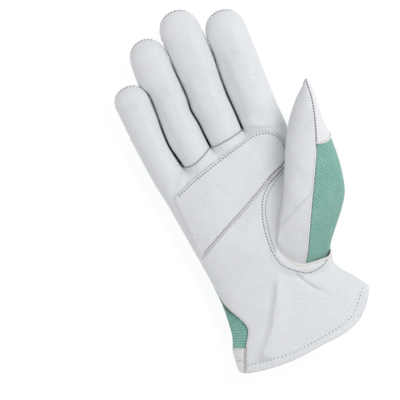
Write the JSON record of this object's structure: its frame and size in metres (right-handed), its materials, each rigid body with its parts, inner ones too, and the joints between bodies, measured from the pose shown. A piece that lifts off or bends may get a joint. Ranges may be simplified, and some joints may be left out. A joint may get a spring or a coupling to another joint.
{
  "type": "assembly glove",
  "caption": "Right-hand work glove with a leather palm, green knit back, leather fingertips, patch, set-in thumb and gathered wrist, lying palm up.",
  "frame": {"origin": "middle of the glove's box, on the plane it rests on", "axes": "+Y from cuff to fingertips, +X from little finger to thumb, +Z out of the palm"},
  "size_m": [0.1378, 0.2664, 0.0514],
  "materials": {
    "palm_leather": "smooth grain, light grey",
    "white_leather": "smooth grain, white",
    "green_knit": "ribbed cotton knit, sage green"
  },
  "bodies": {
    "root": {"palm_leather": "palm_leather", "palm_patch": "palm_leather", "ring_front": "palm_leather", "middle_front": "palm_leather", "thumb_front": "palm_leather", "back_knit": "green_knit", "thumb_back": "green_knit", "cuff_band": "white_leather", "back_patch": "white_leather", "thumb_cap": "white_leather", "cap_little": "white_leather", "cap_ring": "white_leather", "cap_middle": "white_leather", "cap_index": "white_leather", "fourchette_little_ring": "white_leather", "fourchette_ring_middle": "white_leather", "fourchette_middle_index": "white_leather"}
  },
  "joints": []
}
